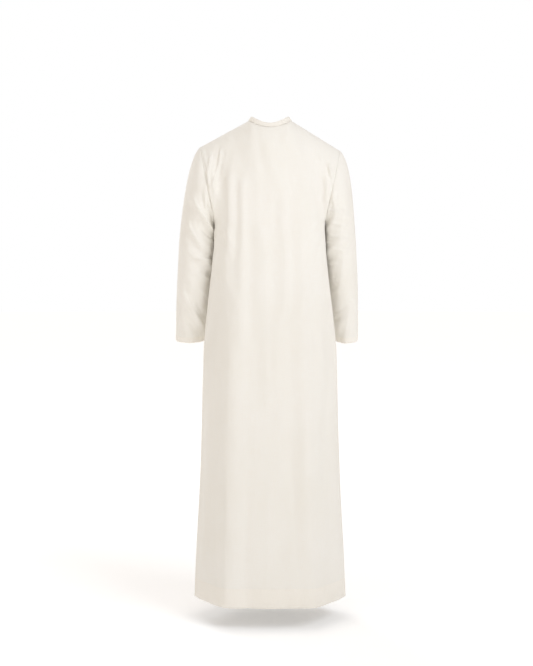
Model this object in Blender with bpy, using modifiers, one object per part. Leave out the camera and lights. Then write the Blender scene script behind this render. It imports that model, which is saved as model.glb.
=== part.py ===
"""A long cream robe with set-in sleeves, in the form it has when worn, with nothing inside it.

Metres, +Z up. The front faces -Y and the wearer's left is +X. The origin is where the shoulders carry the
robe, midway between the two shoulder seams. Each piece is one layer of cloth: an open surface with a wall.
"""

import math
from typing import NamedTuple

import bmesh
import bpy
import numpy as np
from mathutils import Vector

# Cloth and seams
WALL = 0.0015
SEAM_GAP = 0.0003
SHARPEST_BEND = 1.3  # tangent of half the sharpest bend at a seam that the cloth is drawn back for
BEND_EASE = 1.5  # how much more a seam is drawn back at a bend than its flat walls would need

# Heights that the pieces share
HEM_Z = -1.460
UNDERARM_Z = -0.268
CAP_END_Z = -0.330
CUFF_Z = -0.642

# The shoulder line and the neckline
CORNER_X = 0.2196
CORNER_Z = -0.031
RIGHT_CORNER_DROP = 0.011
NECK_X = 0.068
NECK_Z = 0.050
NECK_BACK_Y = 0.058
NECK_FRONT_Y = 0.074
NECK_BACK_DROP = 0.024
NECK_FRONT_DROP = 0.087
NECK_TURN = 65.0  # degrees from the side seam where the shoulder seam gives way to the neckline

# How finely the cloth is divided
SHOULDER_COLUMNS = 12
NECK_COLUMNS = 8
YOKE_ROWS = 12
CAP_ROWS = 8
SKIRT_LEVELS = (
    HEM_Z, -1.385, -1.290, -1.185, -1.080, -0.975, -0.875, -0.780,
    -0.695, -0.620, -0.550, -0.485, -0.430, -0.385, -0.345, -0.305,
)  # fmt: skip
SLEEVE_LEVELS = (
    -0.355, -0.380, -0.403, -0.426, -0.450, -0.475, -0.502, -0.530, -0.559, -0.588, -0.616, CUFF_Z,
)  # fmt: skip
UNDERARM_ROW = len(SKIRT_LEVELS)

# The front opening
SLIT_HALF_GAP = 0.0007
SLIT_END_ROW = UNDERARM_ROW - 1
PLACKET_END_ROW = UNDERARM_ROW - 2
PLACKET_TOP_SHARE = 0.1  # of a row of the front, left bare below the neckline
OVERLAP_HALF_WIDTH = 0.0170
UNDERLAP_HALF_WIDTH = 0.0145
PLACKET_COLUMNS = 4
PLACKET_GAP = 0.0004

# The neckband
BAND_WIDTH = 0.016
BAND_LEAN = 0.7  # how far it leans inward for each metre that it rises
BAND_BOW = 0.001

# The buttons
BUTTON_RADIUS = 0.0055
BUTTON_THICKNESS = 0.0022
BUTTON_EDGE = 0.0005
BUTTON_SIDES = 16
BUTTON_ROWS = (2, 5, 8, 11)  # rows of the placket below its top

# Colour, roughness and metallic value
CLOTH = ((0.84, 0.79, 0.70), 0.85, 0.0)
BUTTON = ((0.80, 0.74, 0.62), 0.35, 0.0)

# Handles of the curves from the armhole to the sleeve's tube, and how they change round the sleeve
CAP_OUT = 0.0275
CAP_OUT_TURN = 0.0135
CAP_DOWN = 0.014
CAP_DOWN_TURN = 0.022
CAP_SPREAD = 0.014
CAP_END_IN = 0.004
CAP_END_UP = 0.052
CAP_END_UP_TURN = 0.036

SIDES = {"left": 1.0, "right": -1.0}


class Section(NamedTuple):
    """A level ring of the body: its side seam, its folded corners and its middles, and how round it is."""

    z: float
    side_x: float
    side_y: float
    back_x: float
    back_y: float
    mid_back_y: float
    front_x: float
    front_y: float
    mid_front_y: float
    roundness: float


BODY = (
    Section(HEM_Z, 0.2420, 0.000, 0.140, 0.150, 0.160, 0.138, -0.150, -0.166, 0.62),
    Section(-1.341, 0.2370, 0.002, 0.138, 0.149, 0.159, 0.136, -0.147, -0.163, 0.62),
    Section(-1.084, 0.2230, 0.004, 0.133, 0.143, 0.153, 0.131, -0.139, -0.153, 0.66),
    Section(-0.765, 0.2125, 0.008, 0.127, 0.132, 0.142, 0.124, -0.128, -0.142, 0.72),
    Section(-0.642, 0.2075, 0.012, 0.124, 0.126, 0.137, 0.119, -0.123, -0.137, 0.76),
    Section(-0.512, 0.1925, 0.022, 0.118, 0.117, 0.128, 0.112, -0.117, -0.132, 0.82),
    Section(-0.418, 0.1815, 0.028, 0.115, 0.110, 0.121, 0.106, -0.112, -0.129, 0.88),
    Section(-0.355, 0.1755, 0.030, 0.115, 0.108, 0.119, 0.103, -0.110, -0.127, 0.92),
    Section(UNDERARM_Z, 0.1715, 0.022, 0.118, 0.109, 0.121, 0.104, -0.108, -0.126, 1.00),
)


class Yoke(NamedTuple):
    """How far back the curves up to the shoulder line reach, and how they fall from the neck."""

    leave: float
    armhole_leave: float
    armhole_arrive: float
    middle_reach: float
    shoulder_reach: float
    neck_fall: float


BACK_YOKE = Yoke(0.010, 0.076, 0.088, 0.092, 0.054, 0.032)
FRONT_YOKE = Yoke(-0.008, -0.084, -0.072, -0.100, -0.050, 0.040)
YOKE_RISE = 0.115  # lengths of the curves' handles, at the underarm and at the top
SHOULDER_FALL = 0.006
ARMHOLE_FOOT_OUT = 0.0045
ARMHOLE_FOOT_RISE = 0.032
ARMHOLE_TOP_IN = 0.0090
ARMHOLE_TOP_FALL = 0.057
YOKE_SPREAD = 0.125  # metres from the middle at which the shoulder's own reach holds
ARMHOLE_TURN = 18.0  # degrees from the side seam over which the armhole's curve dies away


class Ring(NamedTuple):
    """A ring of a sleeve: where its outer side is, its half sizes, how far back it is and how it tilts."""

    z: float
    outer_x: float
    half_width: float
    middle_y: float
    half_depth: float
    tilt: float


SLEEVES = {
    "left": (
        Ring(CAP_END_Z, 0.2885, 0.0600, -0.022, 0.0740, 0.00),
        Ring(-0.427, 0.2939, 0.0560, -0.031, 0.0680, 0.05),
        Ring(-0.535, 0.2997, 0.0525, -0.052, 0.0580, 0.12),
        Ring(CUFF_Z, 0.3045, 0.0480, -0.082, 0.0500, 0.18),
    ),
    "right": (
        Ring(CAP_END_Z, 0.2733, 0.0530, -0.026, 0.0780, 0.00),
        Ring(-0.427, 0.2785, 0.0480, -0.040, 0.0750, 0.05),
        Ring(-0.535, 0.2831, 0.0440, -0.064, 0.0660, 0.12),
        Ring(CUFF_Z, 0.2855, 0.0390, -0.095, 0.0580, 0.18),
    ),
}


class Fold(NamedTuple):
    """A soft ridge between two places of a piece, given across it and up it."""

    top_across: float
    top_z: float
    foot_across: float
    foot_z: float
    half_width: float
    height: float


# On a panel, across is x
BACK_FOLDS = (
    Fold(0.121, -0.130, 0.128, -0.360, 0.012, 0.0045),
    Fold(0.082, -0.165, 0.089, -0.620, 0.015, 0.0045),
    Fold(0.112, -0.560, 0.136, -1.600, 0.030, 0.0050),
    Fold(0.164, -0.640, 0.182, -1.600, 0.022, 0.0035),
    Fold(0.022, -0.300, 0.006, -0.800, 0.021, 0.0028),
    Fold(-0.044, -0.220, -0.050, -0.520, 0.016, 0.0030),
    Fold(-0.096, -0.200, -0.110, -1.250, 0.019, 0.0052),
    Fold(-0.140, -0.230, -0.160, -0.700, 0.016, 0.0040),
    Fold(-0.120, -0.900, -0.134, -1.600, 0.026, 0.0035),
    Fold(-0.004, -1.000, 0.014, -1.600, 0.034, 0.0030),
    Fold(0.192, -0.075, 0.170, -0.175, 0.012, 0.0050),
    Fold(-0.188, -0.110, -0.178, -0.190, 0.012, 0.0045),
)
FRONT_FOLDS = (
    Fold(0.092, -0.190, 0.108, -0.760, 0.016, 0.0055),
    Fold(0.058, -0.380, 0.066, -1.100, 0.018, 0.0040),
    Fold(-0.074, -0.200, -0.086, -0.900, 0.017, 0.0055),
    Fold(-0.116, -0.300, -0.138, -0.800, 0.016, 0.0040),
    Fold(0.126, -0.700, 0.140, -1.600, 0.026, 0.0050),
    Fold(-0.120, -0.800, -0.138, -1.600, 0.026, 0.0050),
    Fold(0.014, -0.640, -0.014, -1.600, 0.028, 0.0035),
    Fold(0.182, -0.095, 0.168, -0.185, 0.013, 0.0045),
    Fold(-0.178, -0.100, -0.164, -0.190, 0.013, 0.0045),
)

# On a sleeve, across is in degrees round it: 0 outside, 90 behind, 180 inside and 270 in front
SLEEVE_FOLDS = {
    "left": (
        Fold(70, -0.205, 150, -0.290, 0.012, 0.0050),
        Fold(66, -0.285, 116, -0.345, 0.013, 0.0045),
        Fold(92, -0.372, 150, -0.405, 0.012, 0.0050),
        Fold(66, -0.516, 128, -0.590, 0.014, 0.0050),
        Fold(300, -0.230, 235, -0.300, 0.013, 0.0045),
        Fold(310, -0.350, 245, -0.402, 0.013, 0.0045),
        Fold(330, -0.470, 280, -0.540, 0.014, 0.0035),
    ),
    "right": (
        Fold(66, -0.250, 140, -0.284, 0.012, 0.0045),
        Fold(74, -0.325, 138, -0.362, 0.012, 0.0045),
        Fold(56, -0.540, 112, -0.590, 0.014, 0.0040),
        Fold(296, -0.240, 236, -0.292, 0.013, 0.0045),
        Fold(305, -0.330, 240, -0.390, 0.013, 0.0045),
        Fold(325, -0.440, 275, -0.520, 0.014, 0.0040),
    ),
}
SLEEVE_REACH = 0.062  # metres across a sleeve for each radian round it
TROUGH_SHARE = 0.50  # depth of the trough on each side of a ridge, as a share of its height
FOLD_FADE = 0.030  # a fold dies away within this distance of a seam


def smooth_between(low, high, value):
    """0 below low, 1 above high, and a smooth rise between them."""
    share = np.clip((value - low) / (high - low), 0.0, 1.0)
    return share * share * (3.0 - 2.0 * share)


def unit(vectors):
    return vectors / np.maximum(np.linalg.norm(vectors, axis=-1, keepdims=True), 1e-12)


def hermite(here, leave, there, arrive, t):
    """A cubic from here to there with the given tangents."""
    rest = 1.0 - t
    return (
        here * (1 + 2 * t) * rest**2
        + leave * t * rest**2
        + there * t * t * (3 - 2 * t)
        - arrive * t * t * rest
    )


def bezier(start, leave, arrive, end, t):
    """A cubic from start to end whose handles are the offsets leave and arrive."""
    t = t[..., None]
    rest = 1.0 - t
    return (
        start * rest**3
        + (start + leave) * 3 * rest**2 * t
        + (end + arrive) * 3 * rest * t**2
        + end * t**3
    )


def table_at(rows, z):
    """Each column of a table of rings, read at the heights z by a smooth curve through its rows."""
    rows = sorted(rows, key=lambda row: row.z)
    levels = np.array([row.z for row in rows])
    z = np.clip(z, levels[0], levels[-1])
    k = np.clip(np.searchsorted(levels, z) - 1, 0, len(levels) - 2)
    step = levels[k + 1] - levels[k]
    t = (z - levels[k]) / step
    read = {}
    for name in rows[0]._fields[1:]:
        values = np.array([getattr(row, name) for row in rows])
        slopes = np.gradient(values, levels)
        read[name] = hermite(values[k], slopes[k] * step, values[k + 1], slopes[k + 1] * step, t)
    return read


def body_ring(turn, z):
    """Points of the body below the underarm. A turn is 0 left, 90 behind, 180 right and 270 in front."""
    row = table_at(BODY, z)
    middle = np.zeros_like(z)
    corners = np.array([
        (row["side_x"], row["side_y"]),
        (row["back_x"], row["back_y"]),
        (middle, row["mid_back_y"]),
        (-row["back_x"], row["back_y"]),
        (-row["side_x"], row["side_y"]),
        (-row["front_x"], row["front_y"]),
        (middle, row["mid_front_y"]),
        (row["front_x"], row["front_y"]),
    ])
    place = np.mod(turn, 360.0) / 45.0
    k = np.floor(place).astype(int)
    grid = np.indices(z.shape)

    def corner(step):
        return corners[(k + step) % 8, :, *grid]

    here, there = corner(0), corner(1)
    roundness = row["roundness"][..., None] / 2
    leave = (there - corner(-1)) * roundness
    arrive = (corner(2) - here) * roundness
    plan = hermite(here, leave, there, arrive, (place - k)[..., None])
    return np.concatenate([plan, z[..., None]], axis=-1)


def neckline(turn):
    """A point of the neckline, by degrees round it."""
    c, s = np.cos(np.radians(turn)), np.sin(np.radians(turn))
    y = np.where(s > 0, NECK_BACK_Y, NECK_FRONT_Y) * s
    z = NECK_Z - np.where(s > 0, NECK_BACK_DROP, NECK_FRONT_DROP) * s * s
    return np.stack([NECK_X * c, y, z], axis=-1)


def shoulder_line(side, from_side, facing):
    """Where the columns of the body end: on the shoulder seam, or nearer the middle on the neckline."""
    share = from_side / NECK_TURN
    corner_z = CORNER_Z - np.where(side < 0, RIGHT_CORNER_DROP, 0.0)
    x = side * (CORNER_X + (NECK_X - CORNER_X) * share)
    seam = np.stack([x, np.zeros_like(x), corner_z + (NECK_Z - corner_z) * share], axis=-1)
    round_neck = (from_side - NECK_TURN) / (90.0 - NECK_TURN) * 90.0
    neck = neckline(facing * np.where(side > 0, round_neck, 180.0 - round_neck))
    return np.where((from_side <= NECK_TURN)[..., None], seam, neck)


def yoke(side, from_side, facing, rise):
    """Points of the body from the underarm, rise 0, to the shoulder line, rise 1.

    Side is 1 on the left and -1 on the right, and facing is 1 behind and -1 in front.
    """
    turn = facing * np.where(side > 0, from_side, 180.0 - from_side)
    start = body_ring(turn, np.full_like(from_side, UNDERARM_Z))
    end = shoulder_line(side, from_side, facing)
    size = {
        name: np.where(facing > 0, getattr(BACK_YOKE, name), getattr(FRONT_YOKE, name))
        for name in Yoke._fields
    }

    def handle(outward_x, y, z):
        return np.stack([side * outward_x, y * np.ones_like(side), z * np.ones_like(side)], axis=-1)

    from_middle = np.abs(end[..., 0])
    over_neck = np.sqrt(np.clip(1.0 - (from_middle / NECK_X) ** 2, 0.0, 1.0))
    spread = smooth_between(0.0, YOKE_SPREAD, from_middle)
    reach = size["middle_reach"] + (size["shoulder_reach"] - size["middle_reach"]) * spread
    armhole = np.exp(-((from_side / ARMHOLE_TURN) ** 2))[..., None]
    fall = SHOULDER_FALL + size["neck_fall"] * over_neck**3
    leave = handle(0.0, size["leave"], YOKE_RISE) * (1 - armhole)
    leave += handle(ARMHOLE_FOOT_OUT, size["armhole_leave"], ARMHOLE_FOOT_RISE) * armhole
    arrive = handle(0.0, reach - end[..., 1], -fall) * (1 - armhole)
    arrive += handle(-ARMHOLE_TOP_IN, size["armhole_arrive"], -ARMHOLE_TOP_FALL) * armhole
    return bezier(start, leave, arrive, end, rise)


def sleeve_tube(name, turn, z):
    """Points of a sleeve below its cap, by degrees round it."""
    row = table_at(SLEEVES[name], z)
    c, s = np.cos(np.radians(turn)), np.sin(np.radians(turn))
    x = SIDES[name] * (row["outer_x"] - row["half_width"] * (1.0 - c))
    y = row["middle_y"] + row["half_depth"] * s
    return np.stack([x, y, z - row["tilt"] * row["half_depth"] * s], axis=-1)


def sleeve_cap(name, turn, fall):
    """Points of a sleeve from the armhole, fall 0, down to its tube, fall 1."""
    side = np.full_like(turn, SIDES[name])
    c, s = np.cos(np.radians(turn)), np.sin(np.radians(turn))
    facing = np.where(turn <= 180.0, 1.0, -1.0)
    start = yoke(side, np.zeros_like(turn), facing, np.abs(1.0 - turn / 180.0))
    end = sleeve_tube(name, turn, np.full_like(turn, CAP_END_Z))
    out, down = CAP_OUT + CAP_OUT_TURN * c, CAP_DOWN + CAP_DOWN_TURN * c
    leave = np.stack([side * out, CAP_SPREAD * s, -down], axis=-1)
    up = CAP_END_UP + CAP_END_UP_TURN * c
    arrive = np.stack([side * -CAP_END_IN * (1 + c), np.zeros_like(c), up], axis=-1)
    return bezier(start, leave, arrive, end, fall)


def fold_height(folds, across, z):
    """How far the folds raise each place."""
    height = np.zeros_like(z)
    for fold in folds:
        top = np.array([fold.top_across, fold.top_z])
        foot = np.array([fold.foot_across, fold.foot_z])
        length = np.linalg.norm(foot - top)
        run = (foot - top) / length
        along = (across - top[0]) * run[0] + (z - top[1]) * run[1]
        aside = np.abs((across - top[0]) * run[1] - (z - top[1]) * run[0]) / fold.half_width
        past = np.maximum(np.maximum(-along, along - length), 0.0) / (2 * fold.half_width)
        ridge = np.exp(-(aside**2)) - TROUGH_SHARE * np.exp(-((aside - 2.0) ** 2))
        height += fold.height * ridge * np.exp(-(past**2))
    return height


def outward(grid, sign):
    """Normals of a grid of points."""
    return sign * unit(np.cross(np.gradient(grid, axis=1), np.gradient(grid, axis=0)))


def run_along(grid, axis):
    """Distance from the first row or column, along the cloth."""
    steps = np.linalg.norm(np.diff(grid, axis=axis), axis=2)
    return np.insert(np.cumsum(steps, axis=axis), 0, 0.0, axis=axis)


def panel(folds, facing):
    """The middle surface of the back or the front: rows up from the hem, columns from left to right."""
    half = np.concatenate([
        np.linspace(0.0, NECK_TURN, SHOULDER_COLUMNS + 1),
        np.linspace(NECK_TURN, 90.0, NECK_COLUMNS + 1)[1:],
    ])
    from_side = np.concatenate([half, half[-2::-1]])
    side = np.where(np.arange(len(from_side)) < len(half), 1.0, -1.0)
    turn = facing * np.where(side > 0, from_side, 180.0 - from_side)
    skirt = body_ring(*np.meshgrid(turn, SKIRT_LEVELS))
    columns, rise = np.meshgrid(np.arange(len(side)), np.linspace(0.0, 1.0, YOKE_ROWS + 1))
    grid = np.concatenate([skirt, yoke(side[columns], from_side[columns], facing, rise)])
    up, over = run_along(grid, 0), run_along(grid, 1)
    to_seam = np.minimum(np.minimum(over, over[:, -1:] - over), up[-1:] - up)
    height = fold_height(folds, grid[..., 0], grid[..., 2]) * smooth_between(0.0, FOLD_FADE, to_seam)
    return grid + outward(grid, facing) * height[..., None]


def sleeve(name):
    """The middle surface of a sleeve: rows down from the armhole, columns round it from its outer side."""
    turns = np.arange(0.0, 360.0, 180.0 / YOKE_ROWS)
    cap = sleeve_cap(name, *np.meshgrid(turns, np.linspace(0.0, 1.0, CAP_ROWS + 1)))
    grid = np.concatenate([cap, sleeve_tube(name, *np.meshgrid(turns, SLEEVE_LEVELS))])
    folds = [
        fold._replace(
            top_across=math.radians(fold.top_across) * SLEEVE_REACH,
            foot_across=math.radians(fold.foot_across) * SLEEVE_REACH,
        )
        for fold in SLEEVE_FOLDS[name]
    ]
    across = np.broadcast_to(np.radians(turns) * SLEEVE_REACH, grid.shape[:2])
    height = fold_height(folds, across, grid[..., 2]) * smooth_between(0.0, FOLD_FADE, run_along(grid, 0))
    wrapped = np.concatenate([grid[:, -1:], grid, grid[:, :1]], axis=1)
    return grid + outward(wrapped, -SIDES[name])[:, 1:-1] * height[..., None]


def drawn_back(edge, inner, beyond):
    """An edge moved into its own piece, so that its wall stays clear of the piece beyond the seam."""
    into = unit(inner - edge)
    straight = np.clip(-np.sum(into * unit(beyond - edge), axis=-1), -1.0, 1.0)
    half_bend = np.minimum(np.tan(np.arccos(straight) / 2), SHARPEST_BEND)
    slant = np.linalg.norm(np.cross(into, unit(np.gradient(edge, axis=0))), axis=-1)
    clear = (SEAM_GAP / 2 + BEND_EASE * WALL / 2 * half_bend) / np.maximum(slant, 0.5)
    return edge + into * clear[:, None]


def panel_seams(drawn, name, other):
    """A panel with its side seams, armholes, shoulder seams and neckline drawn back."""
    grid = drawn[name]
    cut = grid.copy()
    for edge, inner, sleeve_name in ((0, 1, "sleeve_left"), (-1, -2, "sleeve_right")):
        round_sleeve = drawn[sleeve_name][1]
        behind = round_sleeve[YOKE_ROWS::-1]
        in_front = np.roll(round_sleeve, -YOKE_ROWS, axis=0)[: YOKE_ROWS + 1]
        up_armhole = behind if name == "back" else in_front
        beyond = np.concatenate([drawn[other][:UNDERARM_ROW, inner], up_armhole])
        cut[:, edge] = drawn_back(grid[:, edge], grid[:, inner], beyond)
    above = 2 * grid[-1] - grid[-2]
    for shoulder in (slice(None, SHOULDER_COLUMNS + 1), slice(-SHOULDER_COLUMNS - 1, None)):
        above[shoulder] = drawn[other][-2][shoulder]
    cut[-1] = drawn_back(cut[-1], cut[-2], above)
    return cut


def sleeve_seam(drawn, name):
    """A sleeve with its armhole seam drawn back."""
    inner = 1 if name == "left" else -2
    back, front = drawn["back"][UNDERARM_ROW:, inner], drawn["front"][UNDERARM_ROW:, inner]
    cut = drawn[f"sleeve_{name}"].copy()
    cut[0] = drawn_back(cut[0], cut[1], np.concatenate([back[::-1], front[1:-1]]))
    return cut


def neckband(drawn):
    """The neckband's middle surface: rows up, columns round the neck from the middle of the front."""
    neck = slice(SHOULDER_COLUMNS, -SHOULDER_COLUMNS)
    back, front = drawn["back"][-1, neck], drawn["front"][-1, neck]
    line = np.concatenate([front[NECK_COLUMNS::-1], back[1:-1], front[: NECK_COLUMNS - 1 : -1]])
    line[0, 0], line[-1, 0] = SLIT_HALF_GAP, -SLIT_HALF_GAP
    inward = unit(line * np.array([-1.0, -1.0, 0.0]))
    along = unit(np.gradient(line, axis=0))
    along[[0, -1]] = (1.0, 0.0, 0.0)
    rise = inward * BAND_LEAN + np.array([0.0, 0.0, 1.0])
    rise = unit(rise - along * np.sum(rise * along, axis=-1, keepdims=True))
    foot = line + rise * (SEAM_GAP + WALL / 2)
    return np.stack([foot, foot + rise * BAND_WIDTH / 2 - inward * BAND_BOW, foot + rise * BAND_WIDTH])


def placket_strip(front, half_width, lift):
    """A strip down the middle of the front, from the front's own points, moved out by lift."""
    rows = front[PLACKET_END_ROW:, SHOULDER_COLUMNS:-SHOULDER_COLUMNS].copy()
    rows[-1] += (rows[-2] - rows[-1]) * PLACKET_TOP_SHARE
    across = np.linspace(half_width, -half_width, PLACKET_COLUMNS + 1)
    points = np.array([
        np.stack([across, *(np.interp(-across, -row[:, 0], row[:, axis]) for axis in (1, 2))], axis=-1)
        for row in rows
    ])
    return points + outward(points, -1.0) * lift


def material(name, colour, roughness, metallic):
    made = bpy.data.materials.new(name)
    made.use_nodes = True
    shader = made.node_tree.nodes["Principled BSDF"]
    shader.inputs["Base Color"].default_value = (*colour, 1.0)
    shader.inputs["Roughness"].default_value = roughness
    shader.inputs["Metallic"].default_value = metallic
    return made


def cloth(name, grid, collection, closed=False, slit_row=None):
    """A piece of cloth: an open surface through a grid of points, with a wall."""
    form = bmesh.new()
    rows = [[form.verts.new(point) for point in row] for row in grid]
    for low, high in zip(rows, rows[1:]):
        if closed:
            low, high = [*low, low[0]], [*high, high[0]]
        for corners in zip(low, low[1:], high[1:], high):
            form.faces.new(corners)
    if slit_row is not None:
        cut_slit(form, [row[len(row) // 2] for row in rows[slit_row:]])
    bmesh.ops.recalc_face_normals(form, faces=form.faces)
    mesh = bpy.data.meshes.new(name)
    form.to_mesh(mesh)
    form.free()
    mesh.shade_smooth()
    mesh.materials.append(material(name, *CLOTH))
    piece = bpy.data.objects.new(name, mesh)
    collection.objects.link(piece)
    wall = piece.modifiers.new("wall", "SOLIDIFY")
    wall.thickness = WALL
    wall.offset = 0.0


def cut_slit(form, column):
    """Parts the cloth up a column of vertices, from the first one to the edge."""
    end = column[0].co.copy()
    line = [form.edges.get(pair) for pair in zip(column, column[1:])]
    parted = bmesh.ops.split_edges(form, edges=line)["edges"]
    for vertex in {vertex for edge in parted for vertex in edge.verts}:
        if (vertex.co - end).length > SLIT_HALF_GAP:
            side = sum(face.calc_center_median().x for face in vertex.link_faces)
            vertex.co.x = math.copysign(SLIT_HALF_GAP, side)


def buttons(strip, collection):
    """Flat buttons down the placket, each seated on its upper strip."""
    middle = strip.shape[1] // 2
    facing = outward(strip, -1.0)
    for number, row in enumerate(BUTTON_ROWS, start=1):
        seat, normal = Vector(strip[-1 - row, middle]), Vector(facing[-1 - row, middle])
        bpy.ops.mesh.primitive_cylinder_add(
            vertices=BUTTON_SIDES,
            radius=BUTTON_RADIUS,
            depth=BUTTON_THICKNESS,
            location=seat + normal * (WALL / 2 + PLACKET_GAP + BUTTON_THICKNESS / 2),
            rotation=normal.to_track_quat("Z", "Y").to_euler(),
        )
        button = bpy.context.object
        button.name = f"button_{number}"
        button.data.materials.append(material(button.name, *BUTTON))
        edge = button.modifiers.new("edge", "BEVEL")
        edge.width = BUTTON_EDGE
        edge.segments = 1
        for other in button.users_collection:
            other.objects.unlink(button)
        collection.objects.link(button)


def main():
    for old in list(bpy.data.objects):
        bpy.data.objects.remove(old, do_unlink=True)
    robe = bpy.data.collections.new("robe")
    bpy.context.scene.collection.children.link(robe)

    drawn = {"back": panel(BACK_FOLDS, 1.0), "front": panel(FRONT_FOLDS, -1.0)}
    drawn |= {f"sleeve_{name}": sleeve(name) for name in SIDES}
    front = panel_seams(drawn, "front", "back")
    cloth("back", panel_seams(drawn, "back", "front"), robe)
    cloth("front", front, robe, slit_row=SLIT_END_ROW)
    for name in SIDES:
        cloth(f"sleeve_{name}", sleeve_seam(drawn, name), robe, closed=True)
    cloth("neckband", neckband(drawn), robe)
    over = placket_strip(front, OVERLAP_HALF_WIDTH, WALL + PLACKET_GAP)
    cloth("placket_over", over, robe)
    cloth("placket_under", placket_strip(front, UNDERLAP_HALF_WIDTH, -WALL - PLACKET_GAP), robe)
    buttons(over, robe)


main()
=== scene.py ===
"""The robe's looks: thin cloth with creases, seams and stitches, its buttons, and the studio round it.

Metres, in the frame's own axes: +Z up, the front faces -Y and the left sleeve is at +X.
"""

import math
from typing import NamedTuple

import bpy
import numpy as np
from mathutils import Matrix, Vector

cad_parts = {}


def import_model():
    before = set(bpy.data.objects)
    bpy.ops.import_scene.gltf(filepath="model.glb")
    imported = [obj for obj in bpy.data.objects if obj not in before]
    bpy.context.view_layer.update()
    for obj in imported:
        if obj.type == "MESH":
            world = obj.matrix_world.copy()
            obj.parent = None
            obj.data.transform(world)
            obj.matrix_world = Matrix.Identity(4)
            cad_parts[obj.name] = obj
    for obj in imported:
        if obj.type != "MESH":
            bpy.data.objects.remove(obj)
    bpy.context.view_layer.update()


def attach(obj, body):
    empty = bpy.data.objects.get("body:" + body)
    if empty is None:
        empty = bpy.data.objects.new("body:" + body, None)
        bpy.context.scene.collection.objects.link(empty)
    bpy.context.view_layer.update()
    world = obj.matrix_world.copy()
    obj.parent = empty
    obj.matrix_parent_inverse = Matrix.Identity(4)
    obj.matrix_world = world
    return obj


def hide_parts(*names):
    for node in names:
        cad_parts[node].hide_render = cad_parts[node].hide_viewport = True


# The photograph's camera
CAMERA_PLACE = (0.011, 4.0, -0.4175)
CAMERA_DOWN = 2.86  # degrees
LENS_MM = 68.2
SENSOR_MM = 36.0

# The floor and the light round the robe
FLOOR_Z = -1.530
FLOOR_RADIUS = 30.0
FLOOR_SIDES = 96
FLOOR_GLOW = {"From Min": 0.6, "From Max": 5.0, "To Min": 0.30, "To Max": 0.64}  # by distance
ROOM_LIGHT = 0.48
ROOM_COLOUR = (1.0, 0.90, 0.80, 1.0)
LIGHTS_AIM = (0.0, 0.0, -0.6)
LIGHTS = (
    # name, place, size, watts, colour
    ("key", (-3.0, 3.3, 2.8), 2.4, 98.0, (0.94, 1.01, 1.10)),
    ("top", (0.4, 1.4, 3.2), 2.6, 26.0, (0.97, 1.01, 1.07)),
    ("fill", (3.6, 2.6, 0.8), 2.6, 15.0, (1.0, 0.95, 0.89)),
    ("front_key", (2.6, -3.6, 2.0), 2.4, 62.0, (0.97, 1.01, 1.07)),
)

# Cloth
CLOTH_THICKNESS = 0.0007
HEM_Z = -1.460
HEM_DEPTH = 0.060
UNDERARM_Z = -0.268
CAP_END_Z = -0.330
CUFF_Z = -0.642
CUFF_DEPTH = 0.018
FOLDED_GAP = 0.0011  # from the outer layer of a hem to the layer turned up inside it
HEM_TURN = 3  # rows that make the turn

# The shoulder line and the neckline, as the solids have them
CORNER_X = 0.2196
CORNER_Z = -0.031
RIGHT_CORNER_DROP = 0.011
NECK_X = 0.068
NECK_Z = 0.050
NECK_BACK_Y = 0.058
NECK_FRONT_Y = 0.074
NECK_BACK_DROP = 0.024
NECK_FRONT_DROP = 0.087
NECK_TURN = 65.0

# How finely the cloth is divided
SHOULDER_COLUMNS = 60
NECK_COLUMNS = 32
YOKE_ROWS = 72
SKIRT_ROWS = 84
WAIST_Z = -0.470
WAIST_ROWS = 46
CAP_ROWS = 60
SLEEVE_ROWS = 104
STITCH_LINE_ROWS = (-0.0060, -0.0032, -0.0014, 0.0, 0.0014, 0.0032, 0.0060)  # from a hem's stitches
LEVELS_APART = 0.0008  # rows nearer than this to one of those are left out

# Below the neck's corners the cloth is eased over this many columns, from this deep down
EASE_COLUMNS = 16
EASE_DEPTH = 0.045
EASE_PASSES = 90

# Seams: how far the cloth's edge is drawn in from the seam, and how deep it turns in there
SEAM_LIP = ((0.0013, 0.00003), (0.0007, 0.00020), (0.00048, 0.0008), (0.00045, 0.0040))

# The front opening
SLIT_HALF_GAP = 0.0007
SLIT_END_Z = -0.305
PLACKET_END_Z = -0.345
PLACKET_TOP_SHARE = 0.5  # how far it stops short of the neckline, in rows
PLACKET_HALF_WIDTH = 0.0170
UNDERLAP_HALF_WIDTH = 0.0145
PLACKET_LIFT = 0.0013
PLACKET_THICKNESS = 0.0016
PLACKET_COLUMNS = 16
PLACKET_EDGE = 0.6  # how far its side edges round out, as a share of its half thickness
PLACKET_BARS = (1, 4)  # the rows that are stitched across at its lower end
PLACKET_SIDE_START = 2  # the row where the stitches up its sides start

# The neckband
BAND_WIDTH = 0.0170
BAND_LEAN = 0.7
BAND_THICKNESS = 0.0016
BAND_BOW = 0.001
BAND_GAP = 0.0003
BAND_STITCHED = (0.14, 0.86)  # where its two lines of stitches run, as shares of its width
BAND_UP = (0.0, 0.07, 0.14, 0.24, 0.38, 0.52, 0.66, 0.78, 0.86, 0.93)
BAND_TOP = ((0.975, 0.85), (1.0, 0.45))  # its upper edge: shares of its width and of its half thickness
BAND_GROOVE = 0.35  # how far the lower line draws it in, as a share of its half thickness
BAND_GROOVE_WIDTH = 0.05

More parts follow.
